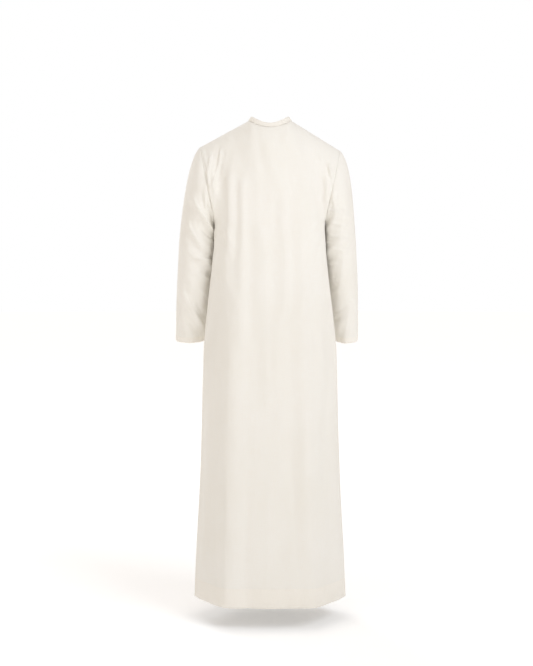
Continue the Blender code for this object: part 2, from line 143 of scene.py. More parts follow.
# The buttons. The profile gives radius and height from the middle below, out and round to the middle above
BUTTON_COUNT = 4
BUTTON_LIFT = 0.0024  # from the front's cloth to a button's underside
BUTTON_FACE = 0.0012  # from its underside to the thread on its face
BUTTON_SPACING = 0.075
FIRST_BUTTON = 0.050  # below the placket's top
BUTTON_PROFILE = (
    (0.0000, 0.0000), (0.0040, 0.0000), (0.0051, 0.0004), (0.0055, 0.0010), (0.0054, 0.0016),
    (0.0050, 0.0020), (0.0045, 0.0021), (0.0040, 0.0018), (0.0034, 0.0014), (0.0000, 0.0013),
)
BUTTON_HOLE_RADIUS = 0.0007
BUTTON_HOLE_PLACE = 0.0013  # from the middle
BUTTON_HOLE_SIDES = 16
BUTTON_HOLES = 4
BUTTON_HOLE_CUT = 0.006
BUTTON_MIDDLE = 0.001  # above its underside, where the cut has its middle
BUTTON_SIDES = 40
BUTTON_THREAD_REACH = 1.1 * BUTTON_HOLE_PLACE
BUTTON_THREAD_ASIDE = 0.707 * BUTTON_HOLE_PLACE
BUTTON_THREAD = (0.0040, 0.0030, 0.00032)  # pitch, length and radius of its stitches

# Handles of the curves from the armhole to the sleeve's tube, as the solids have them
CAP_OUT = 0.0275
CAP_OUT_TURN = 0.0135
CAP_DOWN = 0.014
CAP_DOWN_TURN = 0.022
CAP_SPREAD = 0.014
CAP_END_IN = 0.004
CAP_END_UP = 0.052
CAP_END_UP_TURN = 0.036

UP = np.array([0.0, 0.0, 1.0])
SIDES = {"left": 1.0, "right": -1.0}
SEEDS = {"back": 11, "front": 12, "left": 13, "right": 14}


class Section(NamedTuple):
    """A level ring of the body: its side seam, its folded corners and its middles, and how round it is."""

    z: float
    side_x: float
    side_y: float
    back_x: float
    back_y: float
    mid_back_y: float
    front_x: float
    front_y: float
    mid_front_y: float
    roundness: float


BODY = (
    Section(HEM_Z, 0.2420, 0.000, 0.140, 0.150, 0.160, 0.138, -0.150, -0.166, 0.62),
    Section(-1.341, 0.2370, 0.002, 0.138, 0.149, 0.159, 0.136, -0.147, -0.163, 0.62),
    Section(-1.084, 0.2230, 0.004, 0.133, 0.143, 0.153, 0.131, -0.139, -0.153, 0.66),
    Section(-0.765, 0.2125, 0.008, 0.127, 0.132, 0.142, 0.124, -0.128, -0.142, 0.72),
    Section(-0.642, 0.2075, 0.012, 0.124, 0.126, 0.137, 0.119, -0.123, -0.137, 0.76),
    Section(-0.512, 0.1925, 0.022, 0.118, 0.117, 0.128, 0.112, -0.117, -0.132, 0.82),
    Section(-0.418, 0.1815, 0.028, 0.115, 0.110, 0.121, 0.106, -0.112, -0.129, 0.88),
    Section(-0.355, 0.1755, 0.030, 0.115, 0.108, 0.119, 0.103, -0.110, -0.127, 0.92),
    Section(UNDERARM_Z, 0.1715, 0.022, 0.118, 0.109, 0.121, 0.104, -0.108, -0.126, 1.00),
)


class Yoke(NamedTuple):
    """How far back the curves up to the shoulder line reach, and how they fall from the neck."""

    leave: float
    armhole_leave: float
    armhole_arrive: float
    middle_reach: float
    shoulder_reach: float
    neck_fall: float


BACK_YOKE = Yoke(0.010, 0.076, 0.088, 0.092, 0.054, 0.032)
FRONT_YOKE = Yoke(-0.008, -0.084, -0.072, -0.100, -0.050, 0.040)
YOKE_RISE = 0.115
SHOULDER_FALL = 0.006
ARMHOLE_FOOT_OUT = 0.0045
ARMHOLE_FOOT_RISE = 0.032
ARMHOLE_TOP_IN = 0.0090
ARMHOLE_TOP_FALL = 0.057
YOKE_SPREAD = 0.125
ARMHOLE_TURN = 18.0


class Ring(NamedTuple):
    """A ring of a sleeve: where its outer side is, its half sizes, how far back it is and how it tilts."""

    z: float
    outer_x: float
    half_width: float
    middle_y: float
    half_depth: float
    tilt: float


SLEEVES = {
    "left": (
        Ring(CAP_END_Z, 0.2885, 0.0600, -0.022, 0.0740, 0.00),
        Ring(-0.427, 0.2939, 0.0560, -0.031, 0.0680, 0.05),
        Ring(-0.535, 0.2997, 0.0525, -0.052, 0.0580, 0.12),
        Ring(CUFF_Z, 0.3045, 0.0480, -0.082, 0.0500, 0.18),
    ),
    "right": (
        Ring(CAP_END_Z, 0.2733, 0.0530, -0.026, 0.0780, 0.00),
        Ring(-0.427, 0.2785, 0.0480, -0.040, 0.0750, 0.05),
        Ring(-0.535, 0.2831, 0.0440, -0.064, 0.0660, 0.12),
        Ring(CUFF_Z, 0.2855, 0.0390, -0.095, 0.0580, 0.18),
    ),
}


class Fold(NamedTuple):
    """A soft ridge, or a trough where its height is negative, between two places on a piece.

    Bow is how far its middle swings aside, and lean makes one of its sides wider than the other.
    """

    top_across: float
    top_z: float
    foot_across: float
    foot_z: float
    half_width: float
    height: float
    bow: float = 0.0
    lean: float = 0.0


MM = 0.001
SLEEVE_REACH = 0.062
DEGREE = math.radians(1.0) * SLEEVE_REACH  # across a sleeve


def folds_from(rows, across=MM):
    """Folds from a table whose columns are Fold's. Across is the unit of the places across a piece."""
    units = (across, MM, across, MM, MM, MM, MM, 1.0)
    return tuple(Fold(*(value * size for value, size in zip(row, units))) for row in rows)


# The largest folds, where the solids have them, in millimetres. On a panel, across is x
BACK_FOLDS = folds_from((
    (121, -130, 128, -360, 12, 3),
    (82, -165, 89, -620, 15, 2.8),
    (112, -560, 136, -1600, 30, 5),
    (164, -640, 182, -1600, 22, 3.5),
    (22, -300, 6, -800, 21, 2.8),
    (-44, -220, -50, -520, 16, 3),
    (-96, -200, -110, -1250, 21, 3.6),
    (-140, -230, -160, -700, 16, 4),
    (-120, -900, -134, -1600, 26, 3.5),
    (-4, -1000, 14, -1600, 34, 2.4),
    (192, -75, 170, -175, 12, 5),
    (-188, -110, -178, -190, 12, 4.5),
))
FRONT_FOLDS = folds_from((
    (92, -190, 108, -760, 16, 5.5),
    (58, -380, 66, -1100, 18, 4),
    (-74, -200, -86, -900, 17, 5.5),
    (-116, -300, -138, -800, 16, 4),
    (126, -700, 140, -1600, 26, 5),
    (-120, -800, -138, -1600, 26, 5),
    (14, -640, -14, -1600, 28, 3.5),
    (182, -95, 168, -185, 13, 4.5),
    (-178, -100, -164, -190, 13, 4.5),
))

# On a sleeve, across is in degrees round it: 0 outside, 90 behind, 180 inside and 270 in front
SLEEVE_FOLDS = {
    "left": folds_from((
        (70, -205, 150, -290, 12, 5),
        (66, -285, 116, -345, 13, 4.5),
        (92, -372, 150, -405, 12, 5),
        (66, -516, 128, -590, 14, 5),
        (300, -230, 235, -300, 13, 4.5),
        (310, -350, 245, -402, 13, 4.5),
        (330, -470, 280, -540, 14, 3.5),
    ), DEGREE),
    "right": folds_from((
        (66, -250, 140, -284, 12, 4.5),
        (74, -325, 138, -362, 12, 4.5),
        (56, -540, 112, -590, 14, 4),
        (296, -240, 236, -292, 13, 4.5),
        (305, -330, 240, -390, 13, 4.5),
        (325, -440, 275, -520, 14, 4),
    ), DEGREE),
}
TROUGH_SHARE = 0.50
TROUGH_PLACE = 2.0  # beside a ridge, in half widths
FOLD_FADE = 0.030

# Finer creases, which run closer to the seams
BACK_CREASES = folds_from((
    (212, -49, 188, -150, 4.2, 2.8, 3, 0.3),
    (182, -65, 191, -141, 3.8, 2.5, -2, -0.2),
    (155, -49, 180, -156, 4.6, 2.9, 4, 0.3),
    (196, -110, 184, -205, 3.8, 2.2, 2, -0.2),
    (132, -80, 158, -176, 8, -1, 4),
    (-184, -101, -200, -156, 4.5, 2.4, -2, 0.3),
    (-213, -100, -203, -163, 4.5, 2.2, 1, -0.2),
    (-160, -80, -188, -168, 7, 1.6, -4, -0.3),
    (129, -148, 130, -335, 8.5, 1, 3, 0.3),
    (106, -150, 99, -290, 8, -1, -2),
    (83, -172, 84, -330, 8, 0.8, 2, -0.2),
    (114, -300, 113, -450, 11, -1.2, 3),
    (165, -276, 118, -336, 9, 1.6, 6, 0.3),
    (168, -302, 136, -396, 8, 1.2, 5, -0.3),
    (160, -336, 144, -470, 9, 1, 4),
    (-162, -264, -116, -316, 9, 1.5, -5, 0.3),
    (-166, -292, -130, -378, 8, 1.2, -5, -0.2),
    (-150, -330, -146, -440, 8.5, -1, -3),
    (-70, -130, -76, -270, 11, 0.8, 4, 0.2),
    (40, -110, 36, -300, 13, 0.7, -4),
    (152, -430, 104, -530, 15, 1.3, 7, 0.3),
    (-142, -455, -88, -556, 16, 1.2, -8, -0.3),
    (60, -480, 46, -740, 15, -0.8, 4),
    (-20, -440, -30, -860, 15, 0.8, -6, 0.3),
    (47, -690, 62, -1360, 19, 1.1, 10, 0.3),
    (-58, -820, -78, -1480, 21, 1.3, -8, -0.3),
    (196, -860, 214, -1450, 15, 1.4, 6, 0.2),
    (-188, -760, -206, -1240, 16, 1.4, -6, 0.3),
    (-26, -1120, -40, -1440, 16, -1, 4),
    (86, -1150, 92, -1450, 14, 1, -4, -0.3),
    (-176, -640, -178, -830, 13, -1.2, 4),
    (150, -1060, 158, -1440, 15, -1.1, 3),
    (-220, -1180, -226, -1440, 12, -1, 3),
))
FRONT_CREASES = folds_from((
    (206, -56, 184, -150, 6.5, 2.2, 3, 0.3),
    (172, -50, 186, -146, 6, 1.7, -3, -0.2),
    (146, -60, 174, -172, 7.5, 1.9, 5, 0.3),
    (-202, -74, -186, -156, 6, 2.1, -3, 0.3),
    (-166, -60, -184, -160, 7, 1.8, 3, -0.2),
    (-136, -72, -170, -180, 8.5, -1.3, -4),
    (164, -272, 112, -322, 9, 2.2, 6, 0.3),
    (168, -296, 126, -384, 8.5, 1.8, 6, -0.3),
    (-163, -270, -108, -330, 9.5, 2.2, -6, 0.3),
    (-167, -300, -128, -392, 8, 1.6, -5, -0.2),
    (118, -130, 112, -250, 10, -1.5, 3),
    (-110, -140, -104, -290, 11, 1.4, -4, 0.2),
    (40, -150, 30, -350, 11, 1.2, 4),
    (-44, -180, -30, -370, 11, 1.2, -4),
    (144, -440, 92, -540, 14, 1.8, 7, 0.3),
    (-148, -430, -96, -520, 13, 1.9, -7, -0.3),
    (-30, -470, -46, -820, 14, 1.5, -6, 0.3),
    (22, -400, 28, -640, 13, -1.4, 4),
    (90, -780, 98, -1300, 17, 2.2, 8, 0.3),
    (-58, -900, -76, -1440, 18, 2, -9, -0.3),
    (190, -840, 208, -1400, 15, 2, 6, 0.2),
    (-190, -900, -206, -1440, 15, 2, -6, 0.3),
    (52, -1140, 58, -1450, 13, -1.6, 3),
    (-166, -700, -174, -980, 12, -1.8, 4),
    (160, -1080, 168, -1440, 12, -1.4, 3),
))
SLEEVE_CREASES = {
    "left": folds_from((
        (75, -205, 143, -287, 4.4, 2.8, 3, 0.3),
        (62, -271, 110, -349, 4.8, 2.5, 4, 0.3),
        (88, -376, 142, -389, 4.4, 2.7, 3, -0.3),
        (63, -497, 132, -587, 6, 2.2, 4, 0.3),
        (88, -138, 112, -215, 4.4, 2.7, 3, 0.3),
        (100, -100, 128, -226, 4, 2.2, -2, -0.2),
        (114, -222, 164, -284, 4, 2.2, -3, 0.3),
        (98, -300, 160, -334, 5, 1.5, 3, 0.3),
        (56, -352, 100, -368, 7, 1, 3),
        (104, -428, 162, -446, 6, 1.5, 4, 0.3),
        (60, -438, 104, -480, 8, 0.9, -4),
        (116, -480, 164, -512, 6.5, 1.2, 3, -0.3),
        (44, -548, 84, -600, 8, 1, 4, 0.3),
        (130, -540, 176, -580, 7, 1.2, -3),
        (176, -272, 186, -318, 14, 4.2),
        (186, -350, 236, -362, 6, 2, 3, 0.3),
        (180, -392, 240, -400, 5.5, 2.2, -3, -0.3),
        (196, -428, 262, -446, 6.5, 2, 4, 0.3),
        (262, -150, 240, -240, 6, 2.2, 3, 0.3),
        (288, -130, 262, -214, 7, 1.6, 3),
        (318, -280, 262, -340, 7, 1.8, 5, -0.3),
        (336, -400, 286, -452, 8, 1.5, 4, 0.3),
        (232, -500, 290, -584, 8, 1.5, -4),
        (20, -420, 10, -540, 11, 0.8, 4),
    ), DEGREE),
    "right": folds_from((
        (75, -237, 136, -230, 5, 2, 3, 0.3),
        (68, -280, 128, -268, 5.2, 2.2, 3, -0.3),
        (71, -324, 120, -311, 5.2, 2, -3, 0.3),
        (57, -355, 115, -349, 5.8, 1.8, 3, 0.3),
        (55, -519, 131, -561, 6.5, 2, 4, 0.3),
        (92, -120, 112, -210, 5, 2.4, 3, 0.3),
        (100, -190, 156, -252, 5, 1.8, -3, -0.3),
        (104, -330, 160, -330, 5.5, 1.4, 3),
        (96, -386, 156, -396, 6, 1.5, 4, -0.3),
        (60, -424, 128, -446, 8, 1.1, 4),
        (118, -482, 166, -510, 7, 1.2, -3),
        (44, -590, 78, -620, 8, 0.9, 3),
        (176, -272, 186, -318, 14, 4.2),
        (184, -340, 236, -350, 6, 1.9, 3, 0.3),
        (182, -376, 244, -392, 5.5, 2.1, 3, -0.3),
        (198, -418, 258, -430, 6.5, 1.8, -4, 0.3),
        (264, -150, 240, -236, 6, 2.1, 3, 0.3),
        (290, -136, 266, -206, 7, 1.5, 3),
        (312, -282, 258, -322, 7, 1.8, 5, -0.3),
        (330, -390, 282, -436, 8, 1.5, 4, 0.3),
        (240, -490, 292, -570, 8, 1.4, -4),
        (24, -380, 12, -500, 11, 0.8, 4),
    ), DEGREE),
}
CREASE_FADE = 0.009

# Which way each panel faces, and its folds and creases
PANELS = {
    "back": (1.0, BACK_FOLDS, BACK_CREASES),
    "front": (-1.0, FRONT_FOLDS, FRONT_CREASES),
}


class Rumple(NamedTuple):
    """Low waves without a set place: how wide, long and high they are."""

    width: float
    length: float
    height: float


PANEL_RUMPLES = (Rumple(0.110, 1.100, 0.0009), Rumple(0.050, 0.300, 0.00022), Rumple(0.024, 0.040, 0.00007))
SLEEVE_RUMPLES = (Rumple(0.080, 0.160, 0.0006), Rumple(0.040, 0.060, 0.00018), Rumple(0.020, 0.026, 0.00007))
RUMPLE_WAVES = 36
RUMPLE_SPREAD = (0.6, 1.8)  # a wave's sizes, as shares of its rumple's
RUMPLE_JOIN = 40.0 * DEGREE  # how near the outer side of a sleeve, where its columns start, the waves fade
STITCH_DRAW = 0.00035  # how deep a line of stitches draws the cloth in
STITCH_DRAW_WIDTH = 0.0028
PUCKER = 0.00022
PUCKER_LENGTH = 0.011
CUFF_PUCKERS = 36
HEM_PUCKER_REACH = 0.006
CUFF_PUCKER_REACH = 0.005

# Stitches
STITCH_PITCH = 0.0034
STITCH_LENGTH = 0.0027
STITCH_RADIUS = 0.00034
STITCH_SHOULDER = 0.55  # where a stitch is thickest, as a share of its half length
STITCH_RISE = 1.05  # how far the middle of its thickest part stands off the line, in radii
STITCH_SINK = 0.5  # how far its ends dip below the line, in radii
STITCH_FLATNESS = 0.8
TOP_STITCH_IN = 0.0022  # from a strip's edge

# Colours, as linear light
CREAM = (0.848, 0.826, 0.768, 1.0)
CREAM_WARM = (0.840, 0.785, 0.692, 1.0)
# Doubled cloth tends towards this colour: its own warmer cream, plus painted light that makes it lighter
# than the cloth to even out the shade falling towards the hem
CREAM_DOUBLE_WITH_PAINTED_LIGHT = (0.915, 0.862, 0.775, 1.0)  # towards which doubled cloth tends
CREAM_LIGHT = (0.870, 0.852, 0.806, 1.0)
THREAD = (0.830, 0.785, 0.690, 1.0)
SHELL = (0.780, 0.700, 0.560, 1.0)
SHELL_LIGHT = (0.870, 0.820, 0.720, 1.0)
FLOOR = (0.900, 0.900, 0.900, 1.0)
WHITE = (1.0, 1.0, 1.0, 1.0)

# How fine the patterns are, in repeats a metre but for the pitch, and how deep
THREAD_PITCH = 0.00070
SLUBS = (900.0, 30.0)  # across a thread and along it
CLOUDS = 5.0
BLOOM = 34.0
TWIST = 2200.0
SHELL_CLOUDS = {"Scale": 260.0, "Detail": 4.0, "Distortion": 1.2}
WEAVE_DEPTH = 0.00016
TWIST_DEPTH = 0.00008

# How much of their tones the doubled cloth, the slubs and the bloom take. The doubled cloth's tone is partly
# its own warmer cream and partly painted light, which makes it lighter to even out the shade that falls
# towards the hem
DOUBLE_WITH_PAINTED_LIGHT_SHARE = 0.34
SLUB_SHARE = 0.30
BLOOM_SHARE = 0.10


def smooth_between(low, high, value):
    """0 below low, 1 above high, and a smooth rise between them."""
    share = np.clip((value - low) / (high - low), 0.0, 1.0)
    return share * share * (3.0 - 2.0 * share)


def unit(vectors):
    """The vectors at length one."""
    return vectors / np.maximum(np.linalg.norm(vectors, axis=-1, keepdims=True), 1e-12)


def hermite(here, leave, there, arrive, t):
    """A cubic from here to there with the given tangents."""
    rest = 1.0 - t
    return (
        here * (1 + 2 * t) * rest**2
        + leave * t * rest**2
        + there * t * t * (3 - 2 * t)
        - arrive * t * t * rest
    )


def bezier(start, leave, arrive, end, t):
    """A cubic from start to end whose handles are the offsets leave and arrive."""
    t = t[..., None]
    rest = 1.0 - t
    return (
        start * rest**3
        + (start + leave) * 3 * rest**2 * t
        + (end + arrive) * 3 * rest * t**2
        + end * t**3
    )


def table_at(rows, z):
    """Each column of a table of rings, read at the heights z by a smooth curve through its rows."""
    rows = sorted(rows, key=lambda row: row.z)
    levels = np.array([row.z for row in rows])
    z = np.clip(z, levels[0], levels[-1])
    k = np.clip(np.searchsorted(levels, z) - 1, 0, len(levels) - 2)
    step = levels[k + 1] - levels[k]
    t = (z - levels[k]) / step
    read = {}
    for name in rows[0]._fields[1:]:
        values = np.array([getattr(row, name) for row in rows])
        slopes = np.gradient(values, levels)
        read[name] = hermite(values[k], slopes[k] * step, values[k + 1], slopes[k + 1] * step, t)
    return read


def body_ring(turn, z):
    """Points of the body below the underarm. A turn is 0 left, 90 behind, 180 right and 270 in front."""
    row = table_at(BODY, z)
    middle = np.zeros_like(z)
    corners = np.array([
        (row["side_x"], row["side_y"]),
        (row["back_x"], row["back_y"]),
        (middle, row["mid_back_y"]),
        (-row["back_x"], row["back_y"]),
        (-row["side_x"], row["side_y"]),
        (-row["front_x"], row["front_y"]),
        (middle, row["mid_front_y"]),
        (row["front_x"], row["front_y"]),
    ])
    place = np.mod(turn, 360.0) / 45.0
    k = np.floor(place).astype(int)
    grid = np.indices(z.shape)

    def corner(step):
        return corners[(k + step) % 8, :, *grid]

    here, there = corner(0), corner(1)
    roundness = row["roundness"][..., None] / 2
    leave = (there - corner(-1)) * roundness
    arrive = (corner(2) - here) * roundness
    plan = hermite(here, leave, there, arrive, (place - k)[..., None])
    return np.concatenate([plan, z[..., None]], axis=-1)


def cos_sin(degrees):
    """The cosine and the sine of an angle in degrees."""
    return np.cos(np.radians(degrees)), np.sin(np.radians(degrees))


def neckline(turn):
    """A point of the neckline, by degrees round it."""
    c, s = cos_sin(turn)
    y = np.where(s > 0, NECK_BACK_Y, NECK_FRONT_Y) * s
    z = NECK_Z - np.where(s > 0, NECK_BACK_DROP, NECK_FRONT_DROP) * s * s
    return np.stack([NECK_X * c, y, z], axis=-1)


def shoulder_line(side, from_side, facing):
    """Where the columns of the body end: on the shoulder seam, or nearer the middle on the neckline."""
    share = from_side / NECK_TURN
    corner_z = CORNER_Z - np.where(side < 0, RIGHT_CORNER_DROP, 0.0)
    x = side * (CORNER_X + (NECK_X - CORNER_X) * share)
    seam = np.stack([x, np.zeros_like(x), corner_z + (NECK_Z - corner_z) * share], axis=-1)
    round_neck = (from_side - NECK_TURN) / (90.0 - NECK_TURN) * 90.0
    neck = neckline(facing * np.where(side > 0, round_neck, 180.0 - round_neck))
    return np.where((from_side <= NECK_TURN)[..., None], seam, neck)


def yoke(side, from_side, facing, rise):
    """Points of the body from the underarm, rise 0, to the shoulder line, rise 1.

    Side is 1 on the left and -1 on the right, and facing is 1 behind and -1 in front.
    """
    turn = facing * np.where(side > 0, from_side, 180.0 - from_side)
    start = body_ring(turn, np.full_like(from_side, UNDERARM_Z))
    end = shoulder_line(side, from_side, facing)
    size = {
        name: np.where(facing > 0, getattr(BACK_YOKE, name), getattr(FRONT_YOKE, name))
        for name in Yoke._fields
    }

    def handle(outward_x, y, z):
        return np.stack([side * outward_x, y * np.ones_like(side), z * np.ones_like(side)], axis=-1)

    from_middle = np.abs(end[..., 0])
    over_neck = np.sqrt(np.clip(1.0 - (from_middle / NECK_X) ** 2, 0.0, 1.0))
    spread = smooth_between(0.0, YOKE_SPREAD, from_middle)
    reach = size["middle_reach"] + (size["shoulder_reach"] - size["middle_reach"]) * spread
    armhole = np.exp(-((from_side / ARMHOLE_TURN) ** 2))[..., None]
    fall = SHOULDER_FALL + size["neck_fall"] * over_neck**3
    leave = handle(0.0, size["leave"], YOKE_RISE) * (1 - armhole)
    leave += handle(ARMHOLE_FOOT_OUT, size["armhole_leave"], ARMHOLE_FOOT_RISE) * armhole
    arrive = handle(0.0, reach - end[..., 1], -fall) * (1 - armhole)
    arrive += handle(-ARMHOLE_TOP_IN, size["armhole_arrive"], -ARMHOLE_TOP_FALL) * armhole
    return bezier(start, leave, arrive, end, rise)


def sleeve_tube(name, turn, z):
    """Points of a sleeve below its cap, by degrees round it."""
    row = table_at(SLEEVES[name], z)
    c, s = cos_sin(turn)
    x = SIDES[name] * (row["outer_x"] - row["half_width"] * (1.0 - c))
    y = row["middle_y"] + row["half_depth"] * s
    return np.stack([x, y, z - row["tilt"] * row["half_depth"] * s], axis=-1)


def sleeve_cap(name, turn, fall):
    """Points of a sleeve from the armhole, fall 0, down to its tube, fall 1."""
    side = np.full_like(turn, SIDES[name])
    c, s = cos_sin(turn)
    facing = np.where(turn <= 180.0, 1.0, -1.0)
    start = yoke(side, np.zeros_like(turn), facing, np.abs(1.0 - turn / 180.0))
    end = sleeve_tube(name, turn, np.full_like(turn, CAP_END_Z))
    out, down = CAP_OUT + CAP_OUT_TURN * c, CAP_DOWN + CAP_DOWN_TURN * c
    leave = np.stack([side * out, CAP_SPREAD * s, -down], axis=-1)
    up = CAP_END_UP + CAP_END_UP_TURN * c
    arrive = np.stack([side * -CAP_END_IN * (1 + c), np.zeros_like(c), up], axis=-1)
    return bezier(start, leave, arrive, end, fall)


def fold_height(folds, across, z):
    """How far the folds raise each place."""
    height = np.zeros_like(z)
    for fold in folds:
        top = np.array([fold.top_across, fold.top_z])
        foot = np.array([fold.foot_across, fold.foot_z])
        length = np.linalg.norm(foot - top)
        run = (foot - top) / length
        along = (across - top[0]) * run[0] + (z - top[1]) * run[1]
        share = np.clip(along / length, 0.0, 1.0)
        aside = (across - top[0]) * run[1] - (z - top[1]) * run[0] - fold.bow * 4 * share * (1 - share)
        aside = np.abs(aside) / (fold.half_width * (1.0 + fold.lean * np.sign(aside)))
        past = np.maximum(np.maximum(-along, along - length), 0.0) / (2 * fold.half_width)
        ridge = np.exp(-(aside**2)) - TROUGH_SHARE * np.exp(-((aside - TROUGH_PLACE) ** 2))
        height += fold.height * ridge * np.exp(-(past**2))
    return height


def rumpled(rumples, across, up, seed):
    """Low waves over a piece, the same for the same seed."""
    draw = np.random.default_rng(seed)
    height = np.zeros_like(across)
    for rumple in rumples:
        for _ in range(RUMPLE_WAVES):
            width = rumple.width * draw.uniform(*RUMPLE_SPREAD)
            length = rumple.length * draw.uniform(*RUMPLE_SPREAD) * draw.choice((-1.0, 1.0))
            wave = np.cos(2 * math.pi * (across / width + up / length + draw.random()))
            height += wave * rumple.height / math.sqrt(RUMPLE_WAVES / 2)
    return height


def outward(grid, sign):
    """Normals of a grid of points."""
    return sign * unit(np.cross(np.gradient(grid, axis=1), np.gradient(grid, axis=0)))


def outward_round(grid, sign):
    """Normals of a grid of points that closes on itself round its rows."""
    wrapped = np.concatenate([grid[:, -1:], grid, grid[:, :1]], axis=1)
    return outward(wrapped, sign)[:, 1:-1]


def run_along(grid, axis):
    """Distance from the first row or column, along the cloth."""
    steps = np.linalg.norm(np.diff(grid, axis=axis), axis=2)
    return np.insert(np.cumsum(steps, axis=axis), 0, 0.0, axis=axis)


def line_run(line):
    """Distance from the first point, along a line."""
    return run_along(line[:, None], 0)[:, 0]


def nearest(values, value):
    """Which of the values is nearest to the given one."""
    return int(np.argmin(np.abs(values - value)))


def read_at(where, run, values):
    """Vectors along a line, read at the distances where. Run is how far along each of them is."""
    return np.stack([np.interp(where, run, values[:, part]) for part in range(3)], axis=-1)


def levels_with_line(levels, line):
    """Levels with a few more round a line of stitches, in place of those that lie beside them."""
    more = line + np.array(STITCH_LINE_ROWS)
    apart = np.abs(levels[:, None] - more).min(axis=1) > LEVELS_APART
    return np.sort(np.concatenate([levels[apart], more]))


def drawn_in(from_line):
    """How a line of stitches draws the cloth in, by the distance from it."""
    return -STITCH_DRAW * np.exp(-((from_line / STITCH_DRAW_WIDTH) ** 2))


def puckers(phase, from_line, reach):
    """The small waves along a line of stitches."""
    return PUCKER * np.cos(phase) * np.exp(-((from_line / reach) ** 2))


def eased(grid):
    """A panel smoothed across the columns that run down from the neck's corners, but not along its top."""
    soft = grid.copy()
    for _ in range(EASE_PASSES):
        soft[:, 1:-1] = (soft[:, :-2] + 2 * soft[:, 1:-1] + soft[:, 2:]) / 4
    columns = np.arange(grid.shape[1])
    near = np.zeros(grid.shape[1])
    for corner in (SHOULDER_COLUMNS, grid.shape[1] - 1 - SHOULDER_COLUMNS):
        near = np.maximum(near, np.exp(-(((columns - corner) / EASE_COLUMNS) ** 2)))
    up = run_along(grid, 0)
    share = near * smooth_between(0.0, EASE_DEPTH, up[-1:] - up)
    return grid + (soft - grid) * share[..., None]


def panel(name):
    """The middle surface of the back or the front: rows up from the hem, columns from left to right."""
    facing, folds, creases = PANELS[name]
    half = np.concatenate([
        np.linspace(0.0, NECK_TURN, SHOULDER_COLUMNS + 1),
        np.linspace(NECK_TURN, 90.0, NECK_COLUMNS + 1)[1:],
    ])
    from_side = np.concatenate([half, half[-2::-1]])
    side = np.where(np.arange(len(from_side)) < len(half), 1.0, -1.0)
    turn = facing * np.where(side > 0, from_side, 180.0 - from_side)
    stitch_line = HEM_Z + HEM_DEPTH
    below_waist = np.linspace(HEM_Z, WAIST_Z, SKIRT_ROWS + 1)
    above_waist = np.linspace(WAIST_Z, UNDERARM_Z, WAIST_ROWS + 1)[1:-1]
    levels = levels_with_line(np.concatenate([below_waist, above_waist]), stitch_line)
    skirt = body_ring(*np.meshgrid(turn, levels))
    columns, rise = np.meshgrid(np.arange(len(side)), np.linspace(0.0, 1.0, YOKE_ROWS + 1))
    grid = eased(np.concatenate([skirt, yoke(side[columns], from_side[columns], facing, rise)]))
    up, over = run_along(grid, 0), run_along(grid, 1)
    to_seam = np.minimum(np.minimum(over, over[:, -1:] - over), up[-1:] - up)
    x, z = grid[..., 0], grid[..., 2]
    height = fold_height(folds, x, z) * smooth_between(0.0, FOLD_FADE, to_seam)
    fine = fold_height(creases, x, z) + rumpled(PANEL_RUMPLES, over, up, SEEDS[name])
    fine += puckers(2 * math.pi * over / PUCKER_LENGTH, z - stitch_line, HEM_PUCKER_REACH)
    height += fine * smooth_between(0.0, CREASE_FADE, to_seam) + drawn_in(z - stitch_line)
    return grid + outward(grid, facing) * height[..., None]


def sleeve(name):
    """The middle surface of a sleeve: rows down from the armhole, columns round it from its outer side."""
    turns = np.arange(0.0, 360.0, 180.0 / YOKE_ROWS)
    cap = sleeve_cap(name, *np.meshgrid(turns, np.linspace(0.0, 1.0, CAP_ROWS + 1)))
    stitch_line = CUFF_Z + CUFF_DEPTH
    levels = levels_with_line(np.linspace(CAP_END_Z, CUFF_Z, SLEEVE_ROWS + 1)[1:], stitch_line)[::-1]
    grid = np.concatenate([cap, sleeve_tube(name, *np.meshgrid(turns, levels))])
    to_line = np.concatenate([np.full(CAP_ROWS + 1, np.inf), levels - stitch_line])[:, None]
    across = np.broadcast_to(turns * DEGREE, grid.shape[:2])
    down, z = run_along(grid, 0), grid[..., 2]
    height = fold_height(SLEEVE_FOLDS[name], across, z) * smooth_between(0.0, FOLD_FADE, down)
    waves = rumpled(SLEEVE_RUMPLES, across, down, SEEDS[name])
    waves *= smooth_between(0.0, RUMPLE_JOIN, np.minimum(across, 360.0 * DEGREE - across))
    fine = fold_height(SLEEVE_CREASES[name], across, z) + waves
    fine += puckers(CUFF_PUCKERS * np.radians(turns), to_line, CUFF_PUCKER_REACH)
    height += fine * smooth_between(0.0, CREASE_FADE, down) + drawn_in(to_line)
    return grid + outward_round(grid, -SIDES[name]) * height[..., None]


def turned_up(line, count):
    """A line of values up a piece, with those of its hem repeated before them, in reverse."""
    return np.concatenate([line[count:0:-1], np.repeat(line[:1], HEM_TURN, axis=0), line[1:]])


def hemmed(grid, facing, count):
    """A grid with its first rows turned up inside: the hem's inner layer, the turn, then the cloth."""
    folded = turned_up(grid, count)
    inner = turned_up(facing, count)[: count + HEM_TURN] * FOLDED_GAP
    folded[:count] -= inner[:count]
    for k in range(HEM_TURN):
        share = (k + 0.5) / HEM_TURN
        folded[count + k] -= inner[count + k] * (1.0 - share)
        folded[count + k, :, 2] -= FOLDED_GAP / 2 * (math.sin(share * math.pi) - 1.0)
    return folded


def doubled(grid, count):
    """1 on the rows of a hem's layers, and 0 above them."""
    return (np.arange(len(grid)) < 2 * count + HEM_TURN).astype(float)[:, None]


def lipped(grid, seam_normal, axis, last):
    """A grid with one edge drawn in from its seam and turned in there."""
    lines = np.moveaxis(grid, axis, 0)
    lines = lines[::-1] if last else lines
    into = unit(lines[1] - lines[0])
    lip = [lines[0] + into * inset - seam_normal * depth for inset, depth in SEAM_LIP]
    lines = np.concatenate([np.array(lip[::-1]), lines[1:]])
    lines = lines[::-1] if last else lines
    return np.moveaxis(lines, 0, axis)


def placed(name, data):
    """A new object in the scene."""
    made = bpy.data.objects.new(name, data)
    bpy.context.scene.collection.objects.link(made)
    return made


